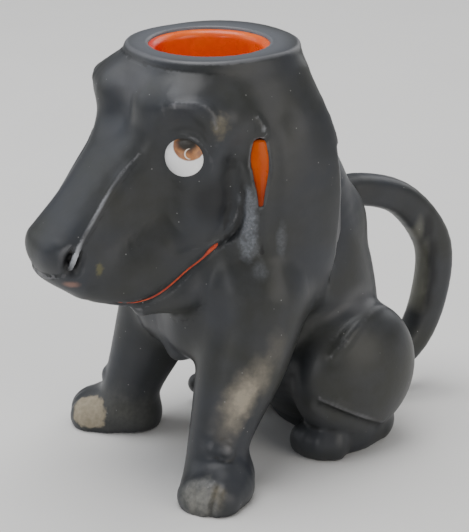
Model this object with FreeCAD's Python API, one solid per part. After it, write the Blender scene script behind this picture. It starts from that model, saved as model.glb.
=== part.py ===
import FreeCAD, Part
import math
import os
from FreeCAD import Vector

# A glazed earthenware candlestick in the form of a seated hound. Millimetres.
# The hound faces -Y, its left side is +X, and it sits on the plane Z = 0.
# Forms are worked out round the axis of the candle socket, then set back so
# that the origin lies under the middle of the whole piece.

# Candle and socket
candle_diameter = 22.0
candle_clearance = 0.5
socket_depth = 24.0
socket_wall = 1.9
mouth_flare = 1.5
rim_drop = 0.7
rim_round = 1.3

# Whole figure
overall_height = 96.0
origin_setback = 12.4
casting_wall = 3.0
crown_thickness = 12.0
overrun = 1.0

# Body, from the seat up to the neck
body_height = 86.0
body_half_width = 20.0
body_depth = 20.0
body_setback = 22.0
body_squareness = 2.2
vent_radius = 3.0
vent_setback = 26.0

# Skull, from the neck up to the rim
skull_drop = 38.0
skull_half_width = 18.6
skull_depth = 19.0
rim_radius = 17.8

# Muzzle, from inside the skull to the nose, with its hanging lips and jaw
muzzle_length = 41.0
muzzle_height = 68.5
muzzle_half_width = 13.0
muzzle_depth = 13.0
muzzle_squareness = 2.9
lip_spread = 9.0
lip_radius = 6.0
nostril_radius = 1.6
nostril_spread = 5.6
nostril_forward = 39.5
nostril_height = 54.0
jaw_half_width = 8.6
jaw_depth = 4.4
jaw_squareness = 2.4

# Eyes: a ball let into its lids, in a dish under the brow. The eye looks turned
# out from straight ahead and down, and the lids end short of the ball's front
eye_radius = 5.3
eye_spread = 13.7
eye_forward = 14.2
eye_height = 76.8
eye_turn = 35.6
eye_droop = 15.3
lid_thickness = 0.7
lid_front = 1.9
dish_radius = 9.0
dish_outset = 7.9
dish_forward = 6.8
dish_rise = 2.7

# Ears, with the slot between the ear and the cheek
ear_spread = 20.0
ear_length = 56.0
ear_half_width = 12.0
ear_thickness = 7.0
ear_setback = 9.0
ear_top = 91.0
ear_squareness = 2.3
slot_length = 15.0
slot_width = 3.4
slot_depth = 2.0
slot_outset = 2.6
slot_drop = 19.5

# Forelegs and forepaws
leg_spread = 18.5
leg_height = 44.0
leg_radius = 9.5
paw_length = 22.6
paw_half_width = 7.8
paw_height = 9.4
paw_squareness = 2.3
toe_groove_depth = 0.9
toe_groove_width = 1.4

# Haunches and hind paws
haunch_spread = 18.0
haunch_setback = 27.0
haunch_half_width = 10.0
haunch_depth = 16.2
haunch_height = 35.6
hind_paw_length = 25.0
hind_paw_half_width = 7.2
hind_paw_height = 11.0

# Handle
handle_reach = 64.6
handle_top = 54.6
handle_half_width = 3.8
handle_half_depth = 3.9
handle_squareness = 2.5

# How finely the forms are ruled: points round an outline, outlines along each
# form, and the angles of the outlines that round off an end. An outline with the
# plain squareness is an ellipse, and a higher one is boxier
plain_squareness = 2.0
outline_points = 12
body_rings = 14
skull_rings = 9
muzzle_rings = 7
lip_rings = 6
jaw_rings = 5
ear_rings = 8
leg_rings = 7
paw_rings = 4
handle_rings = 18
haunch_rings = 8
end_angles = (34.0, 62.0, 82.0)
rim_angles = (30.0, 60.0, 90.0)
haunch_end_angle = 82.0

# Body outlines, bottom to top: height, middle, half width, front and back, as
# shares of body_height, body_setback, body_half_width and body_depth
body_shares = (
    (0.000, 1.26, 0.62, 0.36, 0.60),
    (0.035, 1.26, 0.76, 0.46, 0.74),
    (0.110, 1.22, 0.88, 0.62, 0.82),
    (0.186, 1.17, 0.95, 0.79, 0.87),
    (0.250, 1.12, 0.98, 1.01, 0.91),
    (0.291, 1.09, 1.00, 1.42, 0.93),
    (0.337, 1.05, 1.00, 1.71, 0.955),
    (0.419, 0.99, 1.00, 1.79, 0.975),
    (0.547, 0.90, 0.97, 1.58, 0.965),
    (0.698, 0.70, 0.88, 1.16, 0.92),
    (0.837, 0.44, 0.78, 0.84, 0.91),
    (1.000, 0.12, 0.72, 0.70, 0.93),
)

# Skull outlines, bottom to top: height, how far forward the widest place is,
# half width, front and back from there, as shares of skull_drop,
# skull_half_width and skull_depth, and the squareness
skull_shares = (
    (0.000, 0.00, 0.60, 0.60, 0.72, 2.0),
    (0.070, 0.00, 0.82, 0.84, 0.90, 2.1),
    (0.200, 0.04, 0.95, 0.95, 1.02, 2.2),
    (0.400, 0.15, 1.03, 0.94, 1.17, 2.5),
    (0.560, 0.22, 1.10, 0.99, 1.27, 2.9),
    (0.690, 0.24, 1.15, 0.98, 1.32, 3.1),
    (0.780, 0.20, 1.14, 0.99, 1.27, 3.0),
    (0.880, 0.07, 1.05, 0.99, 1.10, 2.5),
    (0.950, 0.00, 0.985, 0.965, 0.98, 2.0),
)

# Muzzle outlines, root to nose: distance along, height, half width, depth above
# and depth below, as shares of the muzzle's length, height, half width and depth
muzzle_shares = (
    (0.00, 1.160, 1.02, 0.90, 1.05),
    (0.20, 1.095, 1.08, 1.00, 1.08),
    (0.46, 0.990, 0.90, 0.86, 1.08),
    (0.71, 0.888, 0.74, 0.63, 0.87),
    (0.91, 0.806, 0.61, 0.50, 0.60),
)

# The hanging upper lip: spread, distance along, height, half width and depth,
# as shares of lip_spread, the muzzle's length and height, and lip_radius
lip_shares = (
    (1.00, 0.05, 0.91, 1.00, 1.30),
    (1.00, 0.30, 0.81, 1.00, 1.50),
    (0.80, 0.56, 0.745, 0.85, 1.32),
    (0.34, 0.80, 0.745, 0.66, 0.85),
)

# The lower jaw: distance along, height, half width and depth, as shares of the
# muzzle's length and height, jaw_half_width and jaw_depth
jaw_shares = (
    (0.06, 0.770, 1.00, 1.00),
    (0.30, 0.706, 1.00, 1.00),
    (0.56, 0.662, 0.86, 0.90),
    (0.74, 0.672, 0.60, 0.70),
)

# Ear outlines, root to tip: spread, setback, drop, thickness, front and back,
# as shares of ear_spread, ear_setback, ear_length, ear_thickness / 2 and
# ear_half_width
ear_shares = (
    (0.70, 0.50, 0.02, 0.90, 0.56, 0.86),
    (0.94, 0.70, 0.22, 1.04, 0.68, 1.04),
    (1.05, 0.86, 0.42, 1.04, 0.84, 1.10),
    (1.05, 1.00, 0.62, 1.00, 0.84, 1.00),
    (0.98, 1.06, 0.80, 0.96, 0.70, 0.82),
    (0.92, 1.06, 0.93, 0.80, 0.44, 0.52),
)

# Foreleg outlines, shoulder to ankle: spread, forward, height, half width and
# depth, as shares of leg_spread, leg_radius and leg_height
leg_shares = (
    (0.83, -0.08, 0.96, 1.22, 1.30),
    (0.93, 0.26, 0.64, 1.03, 1.12),
    (1.00, 0.80, 0.32, 0.72, 0.76),
    (1.04, 0.96, 0.14, 0.68, 0.70),
)

# Forepaw outlines, heel to toes: spread, forward, half width and height, as
# shares of leg_spread, paw_length, paw_half_width and half of paw_height
paw_shares = (
    (1.06, 0.36, 0.88, 0.92),
    (1.24, 0.57, 1.02, 1.02),
    (1.42, 0.78, 1.02, 0.84),
)
toe_groove_shares = (-0.42, 0.0, 0.42)

# The ear slot, foot to head: place along slot_length and share of slot_width
slot_shares = (
    (-0.5, 0.5),
    (0.0, 1.0),
    (0.5, 0.7),
)

# Hind paw outlines, heel to toes: spread, forward of the haunch's middle, half
# width and height, as shares of haunch_spread and the hind paw's sizes
hind_paw_shares = (
    (0.96, -0.24, 0.86, 0.90),
    (1.00, 0.04, 1.04, 1.02),
    (1.05, 0.38, 1.02, 0.90),
)

# The handle's line from the back round to the seat: how far out and how high,
# as shares of handle_reach and handle_top
handle_shares = (
    (0.44, 0.975),
    (0.65, 0.990),
    (0.846, 0.905),
    (0.970, 0.730),
    (1.000, 0.480),
    (0.915, 0.250),
    (0.740, 0.115),
    (0.560, 0.100),
)

bore_radius = candle_diameter / 2 + candle_clearance
cup_radius = bore_radius + socket_wall
skull_foot = overall_height - skull_drop
left = Vector(1, 0, 0)
back = Vector(0, 1, 0)


def blend(rows, count):
    """Evenly spaced rows on a smooth curve through the given rows."""
    first = [2 * near - far for near, far in zip(rows[0], rows[1])]
    last = [2 * near - far for near, far in zip(rows[-1], rows[-2])]
    padded = [first] + [list(row) for row in rows] + [last]
    spans = len(rows) - 1
    result = []
    for step in range(count):
        place = spans * step / (count - 1)
        start = min(int(place), spans - 1)
        t = place - start
        before, near, far, after = padded[start:start + 4]
        result.append([
            near[k] + t * (far[k] - before[k]) / 2
            + t * t * (before[k] - 2.5 * near[k] + 2 * far[k] - after[k] / 2)
            + t * t * t * (3 * (near[k] - far[k]) + after[k] - before[k]) / 2
            for k in range(len(near))
        ])
    return result


def oval(middle, side, up, half_width, above, below, squareness=plain_squareness):
    """A closed smooth outline round a middle, with its own depth on each side."""
    corners = []
    for step in range(outline_points):
        angle = math.pi * (0.5 + 2 * step / outline_points)
        across = math.copysign(abs(math.cos(angle)) ** (2 / squareness), math.cos(angle))
        along = math.copysign(abs(math.sin(angle)) ** (2 / squareness), math.sin(angle))
        depth = above if along > 0 else below
        corners.append(middle + side * (half_width * across) + up * (depth * along))
    even_steps = [float(step) for step in range(outline_points + 1)]
    curve = Part.BSplineCurve()
    curve.interpolate(Points=corners, PeriodicFlag=True, Parameters=even_steps)
    return Part.Wire(curve.toShape())


def stack(rows):
    """A ruled solid through level outlines, bottom to top.

    Each row is a middle, a half width, the reach to the front and to the back,
    and the squareness.
    """
    wires = [
        oval(middle, left, back, half_width, rear, front, square)
        for middle, half_width, front, rear, square in rows
    ]
    return Part.makeLoft(wires, True, True)


def limb(stations, side=left, squareness=plain_squareness, rounded=True):
    """A ruled solid through outlines square to a bent line.

    Each station is a middle, a half width along the side, and the depths above
    and below it. Rounded ends close it off like a fingertip.
    """
    middles = [station[0] for station in stations]
    last = len(middles) - 1
    wires = []
    for place, (middle, half_width, above, below) in enumerate(stations):
        along = middles[min(place + 1, last)] - middles[max(place - 1, 0)]
        along.normalize()
        across = side - along * side.dot(along)
        across.normalize()
        up = along.cross(across)
        ring = [oval(middle, across, up, half_width, above, below, squareness)]
        if rounded and place in (0, last):
            outward = -1 if place == 0 else 1
            reach = min(half_width, above, below)
            for angle in end_angles:
                turn = math.radians(angle)
                size = math.cos(turn)
                spot = middle + along * (outward * reach * math.sin(turn))
                ring.append(oval(spot, across, up, half_width * size, above * size, below * size,
                                 squareness))
            if place == 0:
                ring.reverse()
        wires.extend(ring)
    return Part.makeLoft(wires, True, True)


def above_ground(shape):
    """What stands above the plane that the figure rests on."""
    box = shape.BoundBox
    slab = Part.makeBox(
        box.XLength + 2 * overrun, box.YLength + 2 * overrun, box.ZLength + overrun,
        Vector(box.XMin - overrun, box.YMin - overrun, 0),
    )
    return shape.common(slab)


def main_solid(shape):
    """The largest solid of a cut, without the slivers beside it."""
    return max(shape.Solids, key=lambda solid: solid.Volume)


def seated(shape, *neighbours):
    """A form cut back to the faces of the pieces that carry it."""
    return main_solid(shape.cut(list(neighbours)))


def mirrored(shape):
    return shape.mirror(Vector(0, 0, 0), left)


def body_rows(inset):
    rows = []
    for height, middle, half_width, front, rear in blend(body_shares, body_rings):
        rows.append((
            Vector(0, body_setback * middle, body_height * height),
            body_half_width * half_width - inset,
            body_depth * front - inset,
            body_depth * rear - inset,
            body_squareness,
        ))
    return rows


def body_hollow():
    """The space inside the cast body, from its floor to the crown under the head."""
    rows = [
        row for row in body_rows(casting_wall)
        if casting_wall < row[0].z < skull_foot - crown_thickness
    ]
    space = stack(rows)
    space.translate(Vector(0, 0, casting_wall))
    return space


def skull_form():
    rows = []
    for height, forward, half_width, front, rear, square in blend(skull_shares, skull_rings):
        rows.append((
            Vector(0, -skull_depth * forward, skull_foot + skull_drop * height),
            skull_half_width * half_width,
            skull_depth * front,
            skull_depth * rear,
            square,
        ))
    for angle in rim_angles:
        turn = math.radians(angle)
        radius = rim_radius - rim_round * (1 - math.cos(turn))
        height = overall_height - rim_round * (1 - math.sin(turn))
        rows.append((Vector(0, 0, height), radius, radius, radius, plain_squareness))
    return stack(rows)


def muzzle_form():
    stations = []
    for along, height, half_width, above, below in blend(muzzle_shares, muzzle_rings):
        stations.append((
            Vector(0, -muzzle_length * along, muzzle_height * height),
            muzzle_half_width * half_width,
            muzzle_depth * above,
            muzzle_depth * below,
        ))
    return limb(stations, squareness=muzzle_squareness)


def lip_form():
    stations = []
    for spread, along, height, half_width, depth in blend(lip_shares, lip_rings):
        stations.append((
            Vector(lip_spread * spread, -muzzle_length * along, muzzle_height * height),
            lip_radius * half_width,
            lip_radius * depth,
            lip_radius * depth,
        ))
    return limb(stations)


def jaw_form():
    stations = []
    for along, height, half_width, depth in blend(jaw_shares, jaw_rings):
        stations.append((
            Vector(0, -muzzle_length * along, muzzle_height * height),
            jaw_half_width * half_width,
            jaw_depth * depth,
            jaw_depth * depth,
        ))
    return limb(stations, squareness=jaw_squareness)


def eye_middle():
    return Vector(eye_spread, -eye_forward, eye_height)


def eye_ball():
    return Part.makeSphere(eye_radius, eye_middle())


def eye_lids():
    """Both lids in one: a larger ball, cut square to the way the eye looks."""
    turn = math.radians(eye_turn)
    droop = math.radians(eye_droop)
    outward = Vector(
        math.sin(turn) * math.cos(droop), -math.cos(turn) * math.cos(droop), -math.sin(droop),
    )
    radius = eye_radius + lid_thickness
    front_angle = math.degrees(math.asin(lid_front / radius))
    return Part.makeSphere(radius, eye_middle(), outward, -90, front_angle, 360)


def eye_dish():
    return Part.makeSphere(dish_radius, eye_middle() + Vector(dish_outset, -dish_forward, dish_rise))


def nostril():
    return Part.makeSphere(nostril_radius, Vector(nostril_spread, -nostril_forward, nostril_height))


def ear_form():
    wires = []
    rows = blend(ear_shares, ear_rings)
    tip = rows[-1]
    for spread, setback, drop, thickness, front, rear in rows:
        middle = Vector(ear_spread * spread, ear_setback * setback, ear_top - ear_length * drop)
        wires.append(oval(middle, left, back, ear_thickness / 2 * thickness,
                          ear_half_width * rear, ear_half_width * front, ear_squareness))
    middle = Vector(ear_spread * tip[0], ear_setback * tip[1], ear_top - ear_length * tip[2])
    for angle in end_angles:
        turn = math.radians(angle)
        size = math.cos(turn)
        spot = middle - Vector(0, 0, ear_thickness / 2 * math.sin(turn))
        wires.append(oval(spot, left, back, ear_thickness / 2 * tip[3] * size,
                          ear_half_width * tip[5] * size, ear_half_width * tip[4] * size,
                          ear_squareness))
    return Part.makeLoft(wires, True, True)


def ear_slot():
    """The narrow slot that opens outward at the front of the ear."""
    spot = Vector(ear_spread + slot_outset, 0, ear_top - slot_drop)
    stations = []
    for share, width in slot_shares:
        stations.append((
            spot + Vector(0, 0, slot_length * share),
            slot_depth, slot_width / 2 * width, slot_width / 2 * width,
        ))
    return limb(stations)


def foreleg_form():
    stations = []
    for spread, forward, height, half_width, depth in blend(leg_shares, leg_rings):
        stations.append((
            Vector(leg_spread * spread, -leg_radius * forward, leg_height * height),
            leg_radius * half_width,
            leg_radius * depth,
            leg_radius * depth,
        ))
    return limb(stations)


def toe_grooves(heel, toe, half_width, height):
    """V-shaped cuts between the toes, fanned over the rounded front of a paw."""
    along = Vector(toe.x - heel.x, toe.y - heel.y, 0)
    along.normalize()
    across = Vector(0, 0, 1).cross(along)
    cuts = []
    for share in toe_groove_shares:
        root = toe - along * height + across * (half_width * share / 2)
        front = toe + along * (height / 2) + across * (half_width * share)
        root.z = front.z = 0
        line = front - root
        line.normalize()
        spread = Vector(0, 0, 1).cross(line) * (toe_groove_width / 2)
        bottom = front - line * toe_groove_depth
        outside = front + line * toe_groove_depth
        corners = [bottom, outside + spread * 2, outside - spread * 2, bottom]
        cuts.append(Part.Face(Part.makePolygon(corners)).extrude(Vector(0, 0, height)))
    return cuts


def forepaw_form():
    stations = []
    for spread, forward, half_width, height in blend(paw_shares, paw_rings):
        stations.append((
            Vector(leg_spread * spread, -paw_length * forward, paw_height / 2 * height),
            paw_half_width * half_width,
            paw_height / 2 * height,
            paw_height / 2 * height,
        ))
    paw = above_ground(limb(stations, squareness=paw_squareness))
    return paw.cut(toe_grooves(stations[0][0], stations[-1][0], stations[-1][1], paw_height))


def hind_paw_form():
    stations = []
    for spread, forward, half_width, height in blend(hind_paw_shares, paw_rings):
        stations.append((
            Vector(haunch_spread * spread, haunch_setback - hind_paw_length * forward,
                   hind_paw_height / 2 * height),
            hind_paw_half_width * half_width,
            hind_paw_height / 2 * height,
            hind_paw_height / 2 * height,
        ))
    paw = above_ground(limb(stations, squareness=paw_squareness))
    return paw.cut(toe_grooves(stations[0][0], stations[-1][0], stations[-1][1], hind_paw_height))


def haunch_form():
    middle = Vector(haunch_spread, haunch_setback, haunch_height - haunch_depth)
    rows = []
    for step in range(haunch_rings):
        turn = math.radians(haunch_end_angle * (2 * step / (haunch_rings - 1) - 1))
        size = math.cos(turn)
        rows.append((
            middle + Vector(0, 0, haunch_depth * math.sin(turn)),
            haunch_half_width * size, haunch_depth * size, haunch_depth * size, body_squareness,
        ))
    return above_ground(stack(rows))


def handle_form():
    stations = []
    for out, height in blend(handle_shares, handle_rings):
        stations.append((
            Vector(0, handle_reach * out, handle_top * height),
            handle_half_width, handle_half_depth, handle_half_depth,
        ))
    return limb(stations, squareness=handle_squareness, rounded=False)


def cup_block():
    """The space that the socket fills, liner and bore together."""
    foot = overall_height - rim_drop - socket_depth - socket_wall
    return Part.makeCylinder(cup_radius, socket_depth + socket_wall + overrun, Vector(0, 0, foot))


def socket_liner():
    """The cup that holds the candle, turned round the upright axis."""
    top = overall_height - rim_drop
    bottom = top - socket_depth
    flat = mouth_flare * (1 - math.sqrt(0.5))
    floor = Vector(0, 0, bottom)
    corner = Vector(bore_radius, 0, bottom)
    flare_foot = Vector(bore_radius, 0, top - mouth_flare)
    flare_top = Vector(bore_radius + mouth_flare, 0, top)
    shoulder = Vector(cup_radius, 0, top)
    heel = Vector(cup_radius, 0, bottom - socket_wall)
    base = Vector(0, 0, bottom - socket_wall)
    edges = [
        Part.makeLine(base, heel),
        Part.makeLine(heel, shoulder),
        Part.makeLine(shoulder, flare_top),
        Part.Arc(flare_top, Vector(bore_radius + flat, 0, top - flat), flare_foot).toShape(),
        Part.makeLine(flare_foot, corner),
        Part.makeLine(corner, floor),
        Part.makeLine(floor, base),
    ]
    return Part.Face(Part.Wire(edges)).revolve(Vector(0, 0, 0), Vector(0, 0, 1), 360)


def head_form():
    """Skull, muzzle and lips in one, before anything is let into it."""
    lip = lip_form()
    return main_solid(skull_form().fuse([muzzle_form(), lip, mirrored(lip)]))


def build():
    head_solid = head_form()
    body_solid = above_ground(stack(body_rows(0)))
    leg_solid = above_ground(foreleg_form())
    haunch_solid = haunch_form()
    dish = eye_dish()
    pit = nostril()
    slot = ear_slot()
    lids = eye_lids()
    bare_face = seated(head_solid, dish, mirrored(dish), pit, mirrored(pit), slot, mirrored(slot))
    face = main_solid(bare_face.fuse([lids, mirrored(lids)]))

    head = seated(face, cup_block())
    hollow = body_hollow()
    vent = Part.makeCylinder(
        vent_radius, hollow.BoundBox.ZMin + 2 * overrun, Vector(0, vent_setback, -overrun),
    )
    body = seated(body_solid, hollow, vent, head_solid)
    leg = seated(leg_solid, body_solid, head_solid)
    haunch = seated(haunch_solid, body_solid)
    forepaw = seated(forepaw_form(), leg_solid)
    hind_paw = seated(hind_paw_form(), body_solid, haunch_solid)
    ear = seated(ear_form(), head_solid, body_solid, leg_solid, slot)
    eye = seated(eye_ball(), face)
    pieces = {
        "body_casting": body,
        "head_casting": head,
        "candle_socket": socket_liner(),
        "lower_jaw": seated(jaw_form(), head_solid, body_solid),
        "handle": seated(handle_form(), body_solid, haunch_solid, mirrored(haunch_solid)),
    }
    pairs = {
        "ear": ear, "eye": eye, "foreleg": leg,
        "forepaw": forepaw, "haunch": haunch, "hind_paw": hind_paw,
    }
    for name, shape in pairs.items():
        pieces["left_" + name] = shape
        pieces["right_" + name] = mirrored(shape)
    return pieces


def write(pieces):
    os.makedirs("parts", exist_ok=True)
    for name, shape in pieces.items():
        placed = shape.copy()
        placed.translate(Vector(0, -origin_setback, 0))
        placed.exportStep("parts/" + name + ".step")
        print(name, placed.isValid(), len(placed.Solids), round(placed.Volume, 1))


if __name__ == "__main__":
    write(build())
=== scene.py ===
import bpy
import numpy as np
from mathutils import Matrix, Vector


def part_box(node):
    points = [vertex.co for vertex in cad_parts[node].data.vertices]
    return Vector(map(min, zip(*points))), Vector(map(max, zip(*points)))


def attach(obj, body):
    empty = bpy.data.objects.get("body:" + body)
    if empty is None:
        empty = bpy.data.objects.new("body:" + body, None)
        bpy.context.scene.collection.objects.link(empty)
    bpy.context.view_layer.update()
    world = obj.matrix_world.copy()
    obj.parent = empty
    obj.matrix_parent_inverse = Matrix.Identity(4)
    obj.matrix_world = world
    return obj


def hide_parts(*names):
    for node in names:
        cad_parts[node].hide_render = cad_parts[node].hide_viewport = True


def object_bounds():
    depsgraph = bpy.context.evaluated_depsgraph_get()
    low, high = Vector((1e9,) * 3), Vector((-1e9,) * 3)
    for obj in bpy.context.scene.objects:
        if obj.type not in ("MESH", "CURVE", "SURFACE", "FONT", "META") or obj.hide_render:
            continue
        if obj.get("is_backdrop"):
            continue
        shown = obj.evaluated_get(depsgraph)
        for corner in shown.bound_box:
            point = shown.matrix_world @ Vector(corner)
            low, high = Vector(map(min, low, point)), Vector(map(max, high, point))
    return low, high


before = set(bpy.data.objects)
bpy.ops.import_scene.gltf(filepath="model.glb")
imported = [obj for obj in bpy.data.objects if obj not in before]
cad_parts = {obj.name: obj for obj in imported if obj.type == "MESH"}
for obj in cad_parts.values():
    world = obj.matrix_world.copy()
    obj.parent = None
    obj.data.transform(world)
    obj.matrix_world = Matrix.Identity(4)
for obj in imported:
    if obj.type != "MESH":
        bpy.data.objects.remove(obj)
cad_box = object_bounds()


def smooth_rows(rows, count):
    """Rows on a smooth curve through the given rows."""
    rows = np.array(rows, float)
    rows = np.vstack([2 * rows[0] - rows[1], rows, 2 * rows[-1] - rows[-2]])
    spans = len(rows) - 3
    result = []
    for place in np.linspace(0, spans, count):
        start = min(int(place), spans - 1)
        t = place - start
        a, b, c, d = rows[start:start + 4]
        result.append(0.5 * (2 * b + (c - a) * t + (2 * a - 5 * b + 4 * c - d) * t ** 2
                             + (3 * b - a - 3 * c + d) * t ** 3))
    return np.array(result)


def soft_min(a, b, reach):
    """The smaller value, melted into the other one where they are nearly equal."""
    share = np.clip(0.5 + 0.5 * (b - a) / reach, 0, 1)
    return b * (1 - share) + a * share - reach * share * (1 - share)


def soft_max(a, b, reach):
    """The larger value, melted into the other one where they are nearly equal."""
    return -soft_min(-a, -b, reach)


def unit(vectors):
    return vectors / np.linalg.norm(vectors, axis=-1, keepdims=True)


class Ball:
    """A rounded lump: its middle, its three radii and how far it is turned round Z."""

    def __init__(self, middle, radii, turn=0.0):
        self.middle = np.array(middle, float)
        self.radii = np.array(radii, float)
        cos, sin = np.cos(np.radians(turn)), np.sin(np.radians(turn))
        self.axes = np.array([[cos, -sin, 0], [sin, cos, 0], [0, 0, 1]])
        reach = max(self.radii)
        self.low, self.high = self.middle - reach, self.middle + reach

    def distance(self, points):
        local = (points - self.middle) @ self.axes / self.radii
        size = np.linalg.norm(local, axis=1)
        slope = np.linalg.norm(local / self.radii, axis=1)
        return size * (size - 1) / np.maximum(slope, 1e-9)


class Limb:
    """A rounded form along a bent line.

    Each station is a point, a half width along the side, and a depth above and
    below the line, or one depth for both.
    """

    def __init__(self, stations, count=14, side=(1, 0, 0), square=2.0, cap=1.0):
        rows = [list(row) + [row[4]] * (6 - len(row)) for row in stations]
        rows = smooth_rows(rows, count)
        self.line, self.sizes = rows[:, :3], rows[:, 3:]
        self.side, self.square, self.cap = np.array(side, float), square, cap
        reach = self.sizes.max()
        self.low, self.high = self.line.min(0) - reach, self.line.max(0) + reach

    def distance(self, points):
        runs = self.line[1:] - self.line[:-1]
        lengths = (runs ** 2).sum(1)
        nearest = np.full(len(points), np.inf)
        run = np.zeros(len(points), int)
        share = np.zeros(len(points))
        for step, way in enumerate(runs):
            t = np.clip((points - self.line[step]) @ way / lengths[step], 0, 1)
            gap = ((points - self.line[step] - t[:, None] * way) ** 2).sum(1)
            closer = gap < nearest
            nearest[closer], run[closer], share[closer] = gap[closer], step, t[closer]
        ways = unit(runs)
        bends = unit(np.vstack([ways[:1], ways[1:] + ways[:-1], ways[-1:]]))
        t = share[:, None]
        along = unit(bends[run] * (1 - t) + bends[run + 1] * t)
        across = unit(self.side - along * (along @ self.side)[:, None])
        up = np.cross(along, across)
        offset = points - self.line[run] * (1 - t) - self.line[run + 1] * t
        width, above, below = (self.sizes[run] * (1 - t) + self.sizes[run + 1] * t).T
        u, v = (offset * across).sum(1), (offset * up).sum(1)
        past_end = (run == 0) & (share <= 0) | (run == len(runs) - 1) & (share >= 1)
        w = np.where(past_end, (offset * along).sum(1), 0)
        depth = np.where(v > 0, above, below)
        end = np.minimum(width, depth) * self.cap
        ring = (np.abs(u / width) ** self.square + np.abs(v / depth) ** self.square) ** (1 / self.square)
        size = np.sqrt(ring ** 2 + (w / end) ** 2)
        if self.square == 2.0:
            slope = np.sqrt((u / width ** 2) ** 2 + (v / depth ** 2) ** 2 + (w / end ** 2) ** 2)
        else:
            slope = np.sqrt((ring ** 2 / (np.sqrt(u * u + v * v) + 1e-9)) ** 2 + (w / end ** 2) ** 2)
        return size * (size - 1) / np.maximum(slope, 1e-9)


class Clay:
    """A soft lump that forms are pressed on and cut from, one after the other.

    Past the margin round a form, the form doesn't change the lump.
    """
    margin = 7.0
    empty = 60.0

    def __init__(self):
        self.steps = []
        self.low, self.high = np.full(3, np.inf), np.full(3, -np.inf)

    def add(self, form, reach):
        self.steps.append((form, reach, 1))
        self.low, self.high = np.minimum(self.low, form.low), np.maximum(self.high, form.high)
        return self

    def carve(self, form, reach):
        self.steps.append((form, reach, -1))
        return self

    def distance(self, points):
        result = np.full(len(points), self.empty)
        for form, reach, sign in self.steps:
            near = ((points > form.low - self.margin) & (points < form.high + self.margin)).all(1)
            if not near.any():
                continue
            there = points[near]
            soft = reach(there) if callable(reach) else reach
            join = soft_min if sign > 0 else soft_max
            result[near] = join(result[near], sign * form.distance(there), soft)
        return result


class Side:
    """Everything on the far side of a flat cut, near its point."""
    reach = 20.0

    def __init__(self, point, facing):
        self.point, self.facing = np.array(point, float), unit(np.array(facing, float))
        self.low, self.high = self.point - self.reach, self.point + self.reach

    def distance(self, points):
        return (self.point - points) @ self.facing


def cord(places, radii, count=16):
    """A thin round form through places, for folds, creases and ridges."""
    radii = np.interp(np.linspace(0, 1, len(places)), np.linspace(0, 1, len(radii)), radii)
    return Limb([(*place, radius, radius) for place, radius in zip(places, radii)], count)


# Lengths of the figure are in ninety-sixths of its height, from the point on the
# ground under the middle of the candle socket. A form that both sides have is
# given once, on the left side.
figure_height = 96
well_radius, well_floor = 13.1, 70
eye_middle = np.array([13.85, -13.95, 76.8])
eye_radius = 5.3
lid_thickness, lid_opening = 0.7, 1.9
lid_way = np.array([0.561, -0.785, -0.264])
mouth_line = (
    (16.2, -8.6, 56.6), (15.8, -10.1, 55.5), (14.9, -11.8, 53.4), (14.0, -15.0, 50.8),
    (12.6, -18.7, 47.4), (10.9, -22.0, 45.0), (9.1, -26.0, 43.5), (8.3, -28.6, 43.3),
)
cheek_fold = (
    (17.4, -8.5, 56.8), (17.9, -7.8, 57.5), (18.2, -6.7, 58.1), (18.8, -5.9, 59.4),
    (19.6, -5.3, 60.9), (20.3, -5.0, 62.9), (20.8, -4.9, 65.7), (21.2, -4.9, 68.7),
)
muzzle_ridge = (
    (10.2, -23.8, 77.3), (9.2, -25.8, 75.1), (8.8, -28.3, 72.3), (8.7, -31.0, 68.8), (8.9, -33.7, 65.0),
    (8.8, -35.9, 61.9), (9.0, -37.8, 59.1), (8.8, -38.8, 56.7), (7.9, -39.5, 54.5),
)
nostril = ((8.8, -38.8, 56.6), (8.2, -39.4, 54.4))
brow_arch = (
    (15.0, -21.0, 87.8), (17.1, -19.0, 88.6), (18.8, -16.8, 89.0), (20.3, -14.3, 88.5),
    (21.1, -13.2, 87.4), (21.8, -12.4, 85.7), (21.9, -12.0, 84.0),
)
haunch_ridge = (
    (24.0, 17.0, 26.9), (24.5, 19.4, 29.2), (24.0, 22.1, 31.3), (23.2, 25.8, 33.1), (21.5, 30.3, 34.1),
    (19.8, 33.9, 33.7),
)
haunch_fold = (
    (24.0, 13.7, 17.0), (25.8, 16.8, 15.4), (26.9, 20.2, 13.2), (27.1, 24.7, 10.6), (24.8, 31.0, 7.4),
)
fold_drop = 2.4
slot_line = (
    (21.5, -1.2, 78.7, 1.5, 1.2), (21.9, -1.4, 75.6, 2.0, 1.3), (22.3, -1.4, 72.2, 1.8, 1.3),
    (22.8, -1.6, 68.8, 1.0, 1.2), (23.1, -1.8, 65.8, 0.5, 1.0),
)
slot_way = (0.29, 0.96, 0)


def sloped(field, points, reach):
    """The field at some points, the way it rises there, and the values around them."""
    centre = field(points)
    ahead = [field(points + reach * way) for way in np.eye(3)]
    behind = [field(points - reach * way) for way in np.eye(3)]
    slope = np.stack([(a - b) / (2 * reach) for a, b in zip(ahead, behind)], 1)
    return centre, slope, sum(ahead) + sum(behind)


def laid(clay, places, depth):
    """Places moved onto the surface of the clay, or to a depth below it."""
    points = np.array(places, float)
    for _ in range(4):
        centre, slope, _ = sloped(clay.distance, points, 0.3)
        points -= (centre / np.maximum((slope ** 2).sum(1), 0.05))[:, None] * slope
    return points - unit(slope) * depth


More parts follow.
